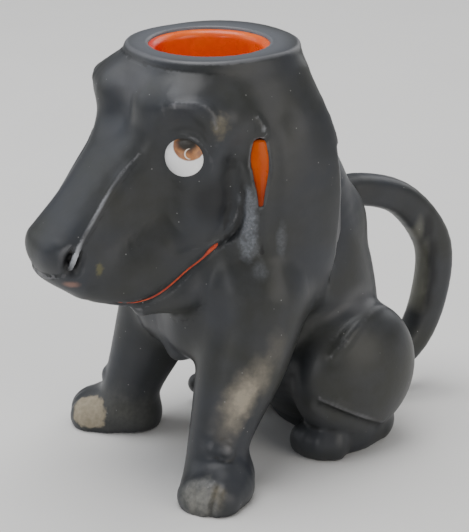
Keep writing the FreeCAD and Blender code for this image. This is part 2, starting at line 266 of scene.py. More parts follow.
def add_haunch(body):
    """The thigh, the hind paw with its toes, and the ridge and fold of the thigh."""
    thigh = Ball((18, 27.3, 19), (10, 16, 16.5))
    body.add(thigh, 3)
    hind_paw = Limb([(15.6, 34, 4, 6, 6), (15.9, 27, 4, 7.4, 7.5), (16.1, 20.7, 3, 6.6, 6.2)], 8)
    body.add(hind_paw, 1.6)
    for toe in ((15.0, 14.9, 3.4), (18.1, 15.2, 3.6), (20.8, 16.9, 3.6), (22.2, 19.9, 3.2)):
        body.add(Ball(toe, (2.3, 2.6, 3.6)), 2.2)
    body.add(cord(laid(body, haunch_ridge, 0.4), (0.4, 1.3, 1.2, 0.9, 0.5, 0.3)), 1.6)
    below_fold = np.array(haunch_fold) - (0, 0, fold_drop)
    body.carve(cord(laid(body, below_fold, -0.4), (0.8, 1.2, 1.2, 1.0, 0.6)), 2)
    body.add(cord(laid(body, haunch_fold, 0.4), (0.4, 1.0, 0.9, 0.7, 0.4)), 1.0)


def add_foreleg(body):
    """The foreleg, its paw with faint gaps between the toes, and its ankle."""
    leg = [(15.4, 2, 42, 12, 12), (17.2, -2.9, 28, 9.6, 10.3), (18.5, -8.8, 14, 6.9, 7.3),
           (19.4, -10.9, 7, 6.6, 6.8)]
    body.add(Limb(leg), 4)
    paw = [(19.9, -9.5, 3, 7.1, 7.3), (23.2, -13, 3, 8.2, 6.8), (26.0, -16.8, 2.4, 7.4, 5.6)]
    body.add(Limb(paw, 8), 2.0)
    body.add(Ball((22.7, -14.1, 12.6), (1.7, 1.6, 1.9)), 1.4)
    body.add(Ball((24.9, -12.0, 11.9), (1.5, 1.5, 1.7)), 1.4)
    for lean, middle in ((-34, (25.4, -20.3)), (-58, (28.0, -18.9)), (-82, (30.0, -16.3))):
        way = np.array([np.cos(np.radians(lean)), np.sin(np.radians(lean))])
        root, tip = np.array(middle) - 3.0 * way, np.array(middle) + 3.6 * way
        gap = [(*root, 9.6), (*(root + 2.4 * way), 8.6), (*(tip - 1.2 * way), 5), (*tip, 0)]
        body.carve(cord(gap, (0.1, 0.25, 0.3)), 1.4)


def body_form():
    """The trunk, the legs and the finger loop."""
    body = Clay()
    trunk = [(0, 31, 8, 15, 12.5), (0, 24.5, 24, 19, 18), (0, 21, 40, 19.6, 18.6), (0, 17.8, 56, 17.5, 16.6),
             (0, 11, 70, 16, 16)]
    body.add(Limb(trunk, 30, square=2.2), 1)
    chest = Ball((0, 1, 38), (17, 14, 16))
    body.add(chest, 6)
    upper_back = Ball((6.2, 29.8, 51.5), (7, 7, 8.5))
    body.add(upper_back, 3)
    under_jaw = [(13.8, -7.5, 51.6), (12.8, -12.5, 47.8), (11.2, -17.5, 44.4), (8.4, -22.5, 42.4)]
    body.add(cord(under_jaw, (2.9, 2.7, 2.2)), 3)
    breast = [(10.8, -13.2, 45.0), (8.6, -10.0, 41.0), (6.3, -6.5, 34.3)]
    body.add(cord(breast, (4.6, 6.3, 7.8)), 5)
    neck = [(17.0, -3.0, 60.5), (16.8, -4.8, 54.5), (17.6, -5.6, 48), (17.4, -5.0, 42)]
    body.add(cord(neck, (1.4, 2.8, 4.0, 4.6)), 4)
    breastbone = [(0, -9.5, 44), (0, -10.3, 36), (0, -8.6, 25.8)]
    body.add(cord(breastbone, (3, 3, 2.4)), 3)
    add_haunch(body)
    add_foreleg(body)
    loop = [(0, 30, 55, 3.8, 3.6), (0, 42, 54.8, 3.8, 3.9, 3.6), (0, 54.5, 50, 3.8, 4.5, 3.6),
            (0, 64.2, 38, 3.8, 5.1, 3.7), (0, 64.3, 25, 3.8, 5.0, 3.8), (0, 58.5, 13, 3.8, 4.1, 3.8),
            (0, 46, 6, 3.8, 3.8)]
    body.add(Limb(loop, 30, square=2.6), 2.0)
    return body


def muzzle_form():
    """The long muzzle with its flat top and the lip that hangs over the jaw."""
    muzzle = Clay()
    bridge = [(0, -8, 75, 14, 13, 14), (0, -19, 68, 11.2, 11.6, 14), (0, -29, 61, 9.1, 8.8, 11),
              (0, -37.4, 55.2, 8.9, 6.9, 7.6)]
    muzzle.add(Limb(bridge, square=3.2, cap=0.9), 1)
    lip = [(9, -3, 62, 6, 8), (9, -13, 55, 6, 9), (7.5, -23, 50.4, 5, 8), (3, -33, 50, 4.4, 5.4)]
    muzzle.add(Limb(lip), 4)
    return muzzle


def hollow_softness(points):
    """The hollow of the eye has a softer edge on the cheek than under the brow."""
    return np.interp(points[:, 2], (71, 80), (3, 1.6))


def head_form():
    """The skull with the boxy brow, the muzzle, the jaw and the face, without the ears."""
    head = Clay()
    skull = [(0, 2, 60, 16, 17), (0, 0, 72, 18.5, 19), (0, 0.2, 85, 19.1, 21.0), (0, 1.0, 95, 17.8, 18.4),
             (0, 1, 106, 17.8, 17.8)]
    head.add(Limb(skull, square=2.3, cap=0.12), 1)
    brow = [(9.4, -17.2, 85.8, 5, 5), (14.2, -15.2, 86.2, 5, 5), (17.8, -8, 84.5, 5, 5)]
    head.add(Limb(brow, 6), 5)
    temple = [(13.4, -10.8, 86, 5.2, 5.2), (14.8, -12.6, 79, 6.0, 6.0), (12.4, -10.4, 68, 5.5, 5.5)]
    head.add(Limb(temple, 8), 4)
    beside_bridge = [(7.0, -17.2, 85), (7.6, -18.6, 79), (7.4, -20.0, 74)]
    head.add(cord(beside_bridge, (4.2, 4.4, 3.6)), 3)
    head.add(muzzle_form(), 4)
    cheek = [(12.6, -10.4, 66), (12.2, -10.6, 60), (11.3, -12.0, 55.6)]
    head.add(cord(cheek, (5.0, 4.5, 3.8)), 3)
    jaw = [(0, -4, 52, 8.6, 4.4), (0, -12.3, 48.4, 8.6, 4.4), (0, -23, 45.3, 7.4, 4.0),
           (0, -30.3, 46.0, 5.2, 3.1)]
    head.add(Limb(jaw), 2)
    ridge = laid(head, muzzle_ridge, 0.35)
    head.carve(cord(laid(head, nostril, -0.1), (1.9, 1.6)), 1.6)
    eye_hollow = Ball((21.6, -21.0, 79.5), (8, 9, 10.4), -44)
    head.carve(eye_hollow, hollow_softness)
    head.add(cord(ridge, (0.4, 0.8, 0.8, 0.75, 0.6), 24), 0.7)
    head.add(cord(laid(head, brow_arch, 0.4), (0.1, 0.7, 1.1, 1.1, 0.9, 0.3), 20), 0.9)
    lid = Clay().add(Ball(eye_middle, (eye_radius + lid_thickness,) * 3), 1)
    lid.carve(Side(eye_middle + lid_opening * lid_way, lid_way), 0.5)
    head.add(lid, 1.6)
    return head


def ear_softness(points):
    """The ears melt into the shoulders in front and hang free behind."""
    height = points[:, 2]
    front = np.interp(height, (46, 62, 74, 84), (6, 3.6, 3.0, 6))
    rear = np.interp(height, (38, 50, 74, 84), (5, 1.6, 1.4, 6))
    return front + (rear - front) * np.interp(points[:, 1], (2, 10), (0, 1))


def neck_softness(points):
    """The body joins the head softly at the shoulders and sharply under the jaw."""
    return np.interp(points[:, 1], (-22, -8), (1.6, 4.5))


def figure():
    """The dog's forms. Only their left half is used, because finished mirrors it."""
    clay = head_form()
    clay.add(body_form(), neck_softness)
    ear = [(15, 5, 88, 4, 10), (19.3, 7, 78, 3.5, 12), (21, 8.5, 66, 3.5, 12.5), (20.5, 9.5, 52, 3.5, 11),
           (19, 8.5, 42, 3, 8)]
    clay.add(Limb(ear), ear_softness)
    before_ear = [(19.0, -2.2, 72), (18.4, -2.0, 64), (17.2, -1.2, 56), (15.0, 0, 48)]
    clay.add(cord(before_ear, (2.6, 3.0, 3.4)), 3)
    clay.carve(cord(laid(clay, mouth_line, -0.4), (0.7, 0.85, 0.85, 0.8)), 0.6)
    clay.carve(cord(laid(clay, cheek_fold, -0.1), (0.5, 0.8, 0.9, 0.8, 0.2)), 0.6)
    clay.carve(Limb(slot_line, 12, slot_way), 0.45)
    over_slot = [(21.5, -1.9, 84.4), (21.5, -0.6, 82.0), (21.6, 0.1, 80.8)]
    clay.add(cord(laid(clay, over_slot, 0.3), (0.3, 0.8, 0.3)), 1.3)
    behind_slot = [(24.2, 1.4, 79), (25.6, 1.2, 72), (26.0, 0.8, 66), (25.6, 0.4, 58)]
    clay.carve(cord(behind_slot, (1.6, 2.1, 1.6)), 2.0)
    under_slot = [(23.8, -2.2, 63.4), (23.6, -2.0, 58.8), (23.0, -1.4, 55)]
    clay.carve(cord(under_slot, (0.7, 0.6, 0.3)), 1.0)
    dent_over_ear = Ball((26.2, 6.8, 83.0), (3, 2.6, 4))
    clay.carve(dent_over_ear, 3)
    behind_ear = [(21.2, 19.6, 74), (21.6, 20.2, 66), (21.6, 19.6, 54), (20.6, 19.2, 48), (19.4, 18.4, 43)]
    clay.carve(cord(behind_ear, (0.8, 1.1, 0.8, 0.1)), 1.0)
    return clay


def finished(clay):
    """Both sides of the dog, with the right hind toe set forward, cut by ground, rim and well."""
    set_forward = cord([(-21.5, 9.9, 4.6), (-20.9, 13.2, 4.2), (-19.6, 17, 3.6)], (2.5, 3.2, 3.4))

    def field(points):
        folded = points.copy()
        folded[:, 0] = np.abs(folded[:, 0])
        result = clay.distance(folded)
        result = soft_min(result, set_forward.distance(points), 1.5)
        height = points[:, 2]
        across = np.hypot(points[:, 0], points[:, 1])
        result = soft_max(result, height - figure_height, 0.9)
        result = soft_max(result, np.minimum(well_radius - across, height - well_floor), 0.5)
        return np.maximum(result, -height)
    return field


# A block of the skin's grid is grid_block steps wide. It is worked out closely where a
# corner of it lies within near_blocks of its width from the surface.
grid_block, near_blocks = 5, 1.5
cube_corners = [(a, b, c) for a in (0, 1) for b in (0, 1) for c in (0, 1)]


def sampled(field, low, step, blocks):
    """The field on a grid, worked out closely only in the blocks that its surface comes near."""
    count = blocks * grid_block + 1
    grid = [low[k] + step * grid_block * np.arange(blocks[k] + 1) for k in range(3)]
    coarse = field(np.stack(np.meshgrid(*grid, indexing="ij"), -1).reshape(-1, 3)).reshape(blocks + 1)
    nearest = [np.minimum(np.round(np.arange(n) / grid_block).astype(int), b) for n, b in zip(count, blocks)]
    values = coarse[np.ix_(*nearest)].copy()
    around = np.stack([
        coarse[a:blocks[0] + a, b:blocks[1] + b, c:blocks[2] + c] for a, b, c in cube_corners
    ])
    near = np.abs(around).min(0) < step * grid_block * near_blocks
    near |= (around.min(0) < 0) & (around.max(0) > 0)
    wanted = np.zeros(count, bool)
    for start in np.argwhere(near) * grid_block:
        wanted[tuple(slice(s, s + grid_block + 1) for s in start)] = True
    values[wanted] = field(low + np.argwhere(wanted) * step)
    return values


def crossing_points(values, where):
    """For each cell, the mean of the points where the surface crosses its edges, in grid steps."""
    total, hits = np.zeros((len(where), 3)), np.zeros(len(where))
    for corner in cube_corners:
        for axis in (0, 1, 2):
            if corner[axis]:
                continue
            other = np.array(corner)
            other[axis] = 1
            here, there = values[tuple((where + corner).T)], values[tuple((where + other).T)]
            crossed = (here < 0) != (there < 0)
            place = np.array(corner, float) + np.zeros((len(where), 1))
            place[:, axis] += np.where(crossed, here / np.where(crossed, here - there, 1), 0)
            total[crossed] += place[crossed]
            hits[crossed] += 1
    return where + total / hits[:, None]


def cell_faces(inside, number):
    """One face round each grid line that the surface crosses, facing outwards."""
    count = inside.shape
    faces = []
    for axis in (0, 1, 2):
        one, two = (axis + 1) % 3, (axis + 2) % 3
        line = np.argwhere(np.diff(inside, axis=axis))
        line = line[(line[:, one] > 0) & (line[:, two] > 0)
                    & (line[:, one] < count[one] - 1) & (line[:, two] < count[two] - 1)]
        ring = []
        for first, second in ((-1, -1), (0, -1), (0, 0), (-1, 0)):
            cell = line.copy()
            cell[:, one] += first
            cell[:, two] += second
            ring.append(number[tuple(cell.T)])
        ring = np.stack(ring, 1)
        outside = ~inside[tuple(line.T)]
        ring[outside] = ring[outside][:, ::-1]
        faces.append(ring)
    return np.vstack(faces)


def skin(field, low, high, step):
    """Points and four-sided faces on the field's zero surface."""
    low, high = np.array(low, float), np.array(high, float)
    blocks = np.ceil((high - low) / (step * grid_block)).astype(int)
    values = sampled(field, low, step, blocks)
    inside = values < 0
    wide, deep, tall = np.array(values.shape) - 1
    inner_corners = sum(inside[a:wide + a, b:deep + b, c:tall + c].astype(int) for a, b, c in cube_corners)
    cells = (inner_corners > 0) & (inner_corners < len(cube_corners))
    where = np.argwhere(cells)
    number = np.full(cells.shape, -1)
    number[cells] = np.arange(len(where))
    return low + crossing_points(values, where) * step, cell_faces(inside, number)


socket_low, socket_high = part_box("candle_socket")
step_size = cad_box[1][2] / figure_height
under_socket = np.array([(socket_low.x + socket_high.x) / 2, (socket_low.y + socket_high.y) / 2, 0])


def in_place(points):
    """Points of the figure in metres, in the frame."""
    return np.array(points, float) * step_size + under_socket


class Term:
    """A value that changes over a surface. Sums on it add Math nodes."""

    def __init__(self, finish, socket):
        self.finish, self.socket = finish, socket

    def __add__(self, other):
        return self.finish.maths("ADD", self, other)

    def __radd__(self, other):
        return self.finish.maths("ADD", other, self)

    def __sub__(self, other):
        return self.finish.maths("SUBTRACT", self, other)

    def __rsub__(self, other):
        return self.finish.maths("SUBTRACT", other, self)

    def __mul__(self, other):
        return self.finish.maths("MULTIPLY", self, other)

    def __rmul__(self, other):
        return self.finish.maths("MULTIPLY", other, self)

    def __neg__(self):
        return self.finish.maths("MULTIPLY", self, -1)

    def __abs__(self):
        return self.finish.maths("ABSOLUTE", self)


def paint(red, green, blue):
    """A colour given on the usual 0 to 255 scale, for a shader."""
    shares = [part / 255 for part in (red, green, blue)]
    linear = [part / 12.92 if part < 0.04045 else ((part + 0.055) / 1.055) ** 2.4 for part in shares]
    return (*linear, 1)


class Finish:
    """A glaze or enamel made from nodes."""

    def __init__(self, name, constants):
        self.material = bpy.data.materials.new(name)
        self.material.use_nodes = True
        self.tree = self.material.node_tree
        self.shader = self.tree.nodes["Principled BSDF"]
        for socket, value in constants.items():
            self.shader.inputs[socket].default_value = value
        self.place = self.node("ShaderNodeTexCoord", out="Object")

    def node(self, kind, settings=None, inputs=None, out=0):
        made = self.tree.nodes.new(kind)
        for name, value in (settings or {}).items():
            setattr(made, name, value)
        for name, value in (inputs or {}).items():
            if isinstance(value, Term):
                self.tree.links.new(value.socket, made.inputs[name])
            else:
                made.inputs[name].default_value = value
        return Term(self, made.outputs[out])

    def maths(self, operation, *values):
        return self.node("ShaderNodeMath", {"operation": operation}, dict(enumerate(values)))

    def noise(self, size, detail, roughness=0.5):
        """A cloudy pattern whose patches are about size millimetres across."""
        return self.node("ShaderNodeTexNoise", {}, {
            "Vector": self.place, "Scale": 1 / (size * step_size), "Detail": detail, "Roughness": roughness,
        })

    def band(self, value, low, high):
        """0 below low, 1 above high, with a soft change between them."""
        return self.node("ShaderNodeMapRange", {"interpolation_type": "SMOOTHSTEP"},
                         {"Value": value, "From Min": low, "From Max": high})

    def mix(self, share, first, second, kind="MIX"):
        return self.node("ShaderNodeMix", {"data_type": "RGBA", "blend_type": kind},
                         {0: share, 6: first, 7: second}, 2)

    def away(self, point, radii, place=None):
        """How far a place is from a point of the figure, as a share of the radii."""
        centre = self.node("ShaderNodeVectorMath", {"operation": "SUBTRACT"},
                           {0: place or self.place, 1: tuple(in_place(point))})
        scaled = self.node("ShaderNodeVectorMath", {"operation": "DIVIDE"},
                           {0: centre, 1: tuple(radius * step_size for radius in radii)})
        return self.node("ShaderNodeVectorMath", {"operation": "LENGTH"}, {0: scaled}, 1)

    def spot(self, point, radii, soft, wobble, size=3.0):
        """A patch with a ragged edge round a point of the figure."""
        ragged = self.away(point, radii) + (self.noise(size, 4) - 0.5) * wobble * 2
        return 1 - self.band(ragged, 1 - soft, 1 + soft)

    def spots(self, rows, *edge):
        """Some patches added up, each given with its point, its radii and its strength."""
        return sum((self.spot(point, radii, *edge) * share for point, radii, share in rows), 0)

    def folded(self):
        """The place with its two sides laid over each other."""
        axes = self.node("ShaderNodeSeparateXYZ", {}, {0: self.place})
        x, y, z = [Term(self, output) for output in axes.socket.node.outputs]
        return self.node("ShaderNodeCombineXYZ", {}, {0: abs(x), 1: y, 2: z})

    def zone(self, sides, rows, inner, outer):
        """1 in the middle of some places of both sides, given with their radii, and 0 outside."""
        shares = [1 - self.band(self.away(point, radii, sides), inner, outer) for point, radii in rows]
        return self.maths("MINIMUM", sum(shares, 0), 1)

    def bump(self, height, depth, strength):
        return self.node("ShaderNodeBump", {}, {
            "Height": height, "Distance": depth * step_size, "Strength": strength,
        })

    def feed(self, values):
        for socket, value in values.items():
            self.tree.links.new(value.socket, self.shader.inputs[socket])
        return self.material


# The grey is for thin glaze and painted highlights on the edges, and for painted light. The black is for
# painted shade.
thin_glaze_and_light_grey, shade_paint_black = paint(118, 118, 121), paint(12, 13, 13)


def glaze_shade_and_light_layers(glaze, edge, cloud, sides):
    """Glaze pooled in the hollows with painted shade there, thin glaze with painted highlights on the edges,
    and patches of painted light and painted shade, as shares and their paints.
    """
    # Places where the painted shade in the hollows is weakened.
    level = glaze.zone(sides, (
        ((15, -17, 82), (6, 6, 5)), ((12, -16, 59), (8, 9, 8)), ((9.5, -27, 58), (5, 6, 6)),
        ((6, -41, 52.3), (4.5, 4, 2.2)),
    ), 0.7, 1.2)
    # Darker in the hollows: pooled glaze and painted shade.
    pooled = glaze.band(-edge, 0.1, 0.5) * (1 - level * 0.7)
    # Places where the painted highlights on the edges are weakened.
    even = glaze.zone(sides, (
        ((22.3, -1.4, 71), (3.2, 3.2, 9.5)), ((16.6, -7.0, 57), (5, 6, 5)),
        ((7.4, -39.8, 54.5), (3.6, 3.6, 4.0)), ((26, -17, 4), (9, 9, 8)), ((15.0, -21.0, 87.8), (2, 2, 2)),
    ), 0.7, 1.3)
    # Lighter on sharp edges and ridges: thin glaze and painted highlights.
    thin = glaze.band(edge + (cloud - 0.5) * 0.2, 0.22, 0.8) * (1 - even * 0.75)
    # Painted light on the forehead and on the top of the haunch.
    painted_light = glaze.zone(sides, (((0, -20, 91), (9, 4, 5)), ((19.5, 27.6, 36.5), (4, 5, 3.5))), 0.4, 1.4)
    # Painted shade on the forehead, the cheek and the inner band of the finger loop.
    painted_shade = glaze.zone(sides, (
        ((17, -13.5, 92.5), (5, 4, 3)), ((18.4, -11, 67), (3.5, 5, 6)), ((3.8, 59.3, 42.5), (2, 2, 4)),
        ((3.2, 61, 36), (2, 2, 4)), ((3, 61.3, 30), (2, 2, 4)), ((2.8, 60.2, 24), (2, 2, 4)),
    ), 0.4, 1.3)
    return (
        (pooled * 0.8, paint(18, 19, 20)), (thin * 0.75, thin_glaze_and_light_grey),
        (painted_light * 0.3, thin_glaze_and_light_grey), (painted_shade * 0.65, shade_paint_black),
    )


def dust_on_leg(glaze, fine):
    """The pale dusty streak down the left foreleg."""
    across = (3.6, 2.0, 3.7)
    streak = glaze.spots((
        ((27.1, -0.2, 33.6), across, 0.16), ((26.8, -3.8, 28.2), across, 0.42),
        ((26.0, -7.2, 24.5), across, 0.8), ((25.0, -9.6, 21.2), across, 0.6),
        ((24.4, -11.6, 17.0), across, 0.2),
    ), 0.9, 0.6, 3.0)
    return glaze.maths("MINIMUM", streak * (0.55 + fine * 0.7), 0.85)


def scuffs_by_ear(glaze):
    """The fine grey scuffs in front of the left ear and on it."""
    rubbed = glaze.spots((
        ((21.3, -4.1, 66.0), (2.4, 1.4, 3.2), 0.8), ((20.6, -3.6, 61.0), (2.4, 1.5, 3.5), 1),
        ((20.4, -3.4, 56.0), (2.4, 1.7, 2.8), 0.9), ((23.9, 3.0, 57.2), (2, 1, 3.4), 0.35),
        ((23.3, -2.2, 51.2), (2, 1.4, 2), 0.3),
    ), 0.6, 0.6, 2.0)
    grain = 0.45 + glaze.band(glaze.noise(0.7, 4), 0.4, 0.62) * 0.35
    return glaze.maths("MINIMUM", rubbed, 1) * grain


def face_layers(glaze, edge, sides):
    """Painted shade in the nostrils and the folds of the cheeks, and painted highlights on raised lines, as
    shares and their paints.
    """
    # Painted shade in the pits of the nostrils.
    nostrils = glaze.zone(sides, (((8.2, -39.2, 55.4), (2.3, 2.4, 3.1)),), 0.5, 1.2)
    # Painted highlights along the muzzle ridge, over the ear slot, on the brow arch and on the haunch ridge.
    ridge_highlight_places = glaze.zone(sides, (
        ((8.8, -38.2, 58), (1.7, 2.3, 4.9)), ((8.9, -32.6, 66.4), (2.2, 5, 7)),
        ((21.5, -0.6, 82.4), (2, 2, 2.6)),
    ), 0.3, 1.2)
    arch_and_haunch_highlight_places = glaze.zone(sides, (
        ((18.6, -17.0, 88.9), (4.6, 6, 2.4)), ((24.6, 19.4, 29.2), (2.4, 3.2, 2.6)),
    ), 0.5, 1.2)
    painted_highlights = ridge_highlight_places * glaze.band(edge, 0.25, 0.9) + arch_and_haunch_highlight_places * glaze.band(edge, 0.55, 1.3) * 0.8
    # Painted shade along the fold between the cheek and the ear.
    crease_shade = glaze.zone(sides, (
        ((19.3, -4.8, 60.8), (1.4, 1.3, 2.6)), ((20.0, -4.8, 64.2), (1.2, 1.2, 3)),
        ((20.8, -4.9, 68.4), (1, 1, 3.4)),
    ), 0.3, 1.2)
    return (
        (nostrils * (1 - glaze.band(edge, 0.4, 0.9)) * 0.9, paint(9, 9, 10)),
        (painted_highlights * 0.75, paint(190, 194, 200)), (crease_shade * 0.85, shade_paint_black),
    )


def mark_layers(glaze, fine):
    """Painted bounce light inside the finger loop, small stains and specks, as shares and their paints."""
    # Painted bounce light on the inner face of the finger loop.
    in_loop = (3.4, 1.3, 4.4)
    inside = glaze.spots((
        ((1.6, 57.0, 41), in_loop, 0.7), ((0, 59.4, 36), in_loop, 0.7),
        ((-0.2, 59.9, 30), in_loop, 0.7), ((-0.6, 59.2, 24.4), in_loop, 0.7),
    ), 0.7, 0.3)
    over_eye = glaze.spot((22.1, -11.2, 84.0), (1.4, 1.7, 2.3), 0.6, 0.9, 1.2)
    on_toe = glaze.spot((30.6, -17.4, 4.6), (1.4, 1.4, 3.0), 0.6, 0.4)
    by_nostril = glaze.spot((9.2, -33.2, 53.2), (0.9, 0.7, 1.4), 0.6, 1.0, 0.8)
    under_nose = glaze.spot((7.1, -38.9, 50.4), (1.5, 1.7, 0.7), 0.7, 0.6, 1.5)
    speck_spacing = 1.7 * step_size
    cells = {"Vector": glaze.place, "Scale": 1 / speck_spacing}
    dots = glaze.node("ShaderNodeTexVoronoi", {}, cells)
    seeds = glaze.node("ShaderNodeTexVoronoi", {}, cells, 1)
    chance = glaze.node("ShaderNodeSeparateColor", {}, {0: seeds})
    specks = (1 - glaze.band(dots, 0.05, 0.11)) * glaze.band(chance, 0.8, 0.82)
    return (
        (glaze.maths("MINIMUM", inside, 0.8), paint(122, 122, 112)),
        ((over_eye + on_toe) * (0.05 + fine * 0.5), paint(138, 128, 104)),
        (by_nostril * 0.5, paint(112, 108, 66)), (under_nose * 0.6, paint(150, 112, 98)),
        (specks * 0.6, paint(150, 150, 148)),
    )


def charcoal_glaze():
    """Dark satin glaze, thin on the edges and pooled in the hollows, with painted highlights, painted light,
    painted shade and old wear.
    """
    glaze = Finish("charcoal_glaze", {
        "IOR": 1.5, "Specular IOR Level": 0.34, "Coat Weight": 0.1, "Coat Roughness": 0.3, "Coat IOR": 1.45,
    })
    edge = glaze.node("ShaderNodeAttribute", {"attribute_name": "edge"}, out="Fac")
    fine, cloud, broad = glaze.noise(0.9, 3), glaze.noise(5, 4, 0.6), glaze.noise(19, 3)
    sides = glaze.folded()
    dusty, scuffs = dust_on_leg(glaze, fine), scuffs_by_ear(glaze)
    left_paw = glaze.spot((28.1, -21.2, 4.2), (3.4, 3.4, 3.4), 0.95, 0.9, 2.0)
    right_paw = glaze.spot((-19, -13, 6), (7, 6, 5), 0.8, 0.5)
    pale = (left_paw + right_paw * 0.35) * (0.15 + fine * 0.8)
    bare = glaze.spot((-20.6, -21.0, 5.2), (4.6, 4.2, 4.4), 0.12, 0.4, 2.0)
    biscuit = glaze.mix(fine, paint(128, 118, 98), paint(172, 162, 142))
    rim_away = glaze.away((0, 0, figure_height), (15.2, 15.2, 1.4))
    worn_rim = 1 - glaze.band(rim_away, 0.95, 1.35)
    colour = glaze.mix(glaze.band(broad, 0.3, 0.7), paint(45, 46, 42), paint(48, 51, 57))
    for share, tone in (
        (glaze.band(cloud, 0.35, 0.75) * 0.5, paint(57, 58, 60)),
        *glaze_shade_and_light_layers(glaze, edge, cloud, sides),
        (dusty, paint(162, 153, 136)), (scuffs * 0.75, paint(136, 141, 149)), (pale, paint(150, 149, 142)),
        *face_layers(glaze, edge, sides),
        *mark_layers(glaze, fine),
        (bare, biscuit), (worn_rim * 0.6, paint(103, 106, 112)),
    ):
        colour = glaze.mix(share, colour, tone)
    rough = 0.42 + (cloud - 0.5) * 0.14 + dusty * 0.2 + scuffs * 0.2 + bare * 0.35
    relief = glaze.bump(glaze.noise(3.2, 3) * 0.7 + fine * 0.25, 0.12, 0.6)
    return glaze.feed({"Base Color": colour, "Roughness": rough, "Normal": relief})


def orange_glaze(name, shine):
    """Orange glaze, browner low in the slots of the ears and redder on one side of the well."""
    glaze = Finish(name, {"IOR": 1.5, "Specular IOR Level": shine})
    cloud, broad = glaze.noise(4, 4), glaze.noise(14, 2)
    colour = glaze.mix(glaze.band(broad, 0.35, 0.65), paint(236, 92, 14), paint(242, 108, 20))
    colour = glaze.mix(glaze.band(cloud, 0.5, 0.8) * 0.5, colour, paint(210, 52, 18))
    in_ear = 1 - glaze.band(glaze.away((0, 0, figure_height), (15.5, 15.5, 40)), 0.98, 1.1)
    height = glaze.node("ShaderNodeSeparateXYZ", {}, {0: glaze.place}, "Z")
    slot_low, slot_high = 62 * step_size, 75 * step_size
    deeper = glaze.mix(glaze.band(height, slot_low, slot_high), paint(118, 84, 34), paint(200, 194, 22))
    colour = glaze.mix(in_ear, glaze.mix(1, colour, deeper, "MULTIPLY"), colour)
    red_side = 1 - glaze.band(glaze.away((-8, -11.5, 92), (9, 9, 13)), 0.3, 1.2)
    colour = glaze.mix(red_side * 0.9, colour, paint(210, 24, 12))
    relief = glaze.bump(glaze.noise(2.5, 3), 0.08, 0.5)
    return glaze.feed({"Base Color": colour, "Roughness": 0.22 + cloud * 0.12, "Normal": relief})


def eye_enamel():
    """White enamel with a tan iris, a grey pupil and a curved stroke of light."""
    enamel = Finish("eye_enamel", {"IOR": 1.4})
    place = enamel.folded()
    fine = enamel.noise(0.7, 3)

    def disc(way, radius, soft):
        """A round patch on the ball of the eye, where the way from its middle comes out."""
        middle = eye_middle + eye_radius * np.array(way)
        ragged = enamel.away(middle, (radius,) * 3, place) + (fine - 0.5) * soft
        return 1 - enamel.band(ragged, 1 - soft, 1 + soft)

    iris, pupil = disc((0.683, -0.375, 0.627), 3.52, 0.05), disc((0.586, -0.400, 0.704), 2.2, 0.35)
    ring = disc((0.845, -0.46, 0.27), 1.15, 0.08) - disc((0.86, -0.435, 0.27), 1.02, 0.08)
    stroke = ring * disc((0.79, -0.56, 0.26), 1.25, 0.15)
    tan = enamel.mix(enamel.band(enamel.noise(1.2, 3), 0.35, 0.65), paint(150, 104, 76), paint(184, 128, 84))
    colour = enamel.mix(fine * 0.4, paint(253, 253, 253), paint(245, 245, 245))
    for share, tone in ((iris, tan), (pupil, paint(60, 57, 53)), (stroke, paint(236, 226, 214))):
        colour = enamel.mix(share, colour, tone)
    return enamel.feed({"Base Color": colour, "Roughness": 0.3 + fine * 0.1})


def mouth_enamel():
    """Red enamel, a little uneven."""
    enamel = Finish("mouth_enamel", {"IOR": 1.5})
    fine = enamel.noise(1.5, 3)
    colour = enamel.mix(enamel.band(fine, 0.35, 0.7), paint(168, 48, 18), paint(196, 76, 34))
    return enamel.feed({"Base Color": colour, "Roughness": 0.3 + fine * 0.1})


def new_piece(name, points, faces, material):
    """A smooth mesh with one material, linked to the scene."""
    mesh = bpy.data.meshes.new(name)
    mesh.from_pydata([tuple(point) for point in points], [], [tuple(face) for face in faces])
    mesh.materials.append(material)
    mesh.shade_smooth()
    piece = bpy.data.objects.new(name, mesh)
    bpy.context.scene.collection.objects.link(piece)
    return piece


def settled(field, points):
    """Points moved onto the field's zero surface, and how sharply it bends there."""
    reach = 0.5
    for turn in range(3):
        centre, slope, around = sloped(field, points, reach)
        steep = np.maximum((slope ** 2).sum(1), 0.05)
        if turn < 2:
            points = points - np.clip(centre / steep, -0.4, 0.4)[:, None] * slope
    bend = (around - 6 * centre) / reach ** 2 / np.sqrt(steep) / 2
    return points, bend


def hound_skin(clay, glaze):
    """The finished dog as one skin, with how sharply it bends kept in the attribute edge."""
    field = finished(clay)
    grain = 0.68
    low_corner, high_corner = (-36, -47, -1.3), (36, 71, figure_height + 2)
    points, faces = skin(field, low_corner, high_corner, grain)
    points, bend = settled(field, points)
    points[:, 2] = np.clip(points[:, 2], 0, figure_height)
    piece = new_piece("glazed_hound", in_place(points), faces, glaze)
    edge = piece.data.attributes.new("edge", "FLOAT", "POINT")
    edge.data.foreach_set("value", np.clip(bend, -2, 2).astype(np.float32))
    return piece


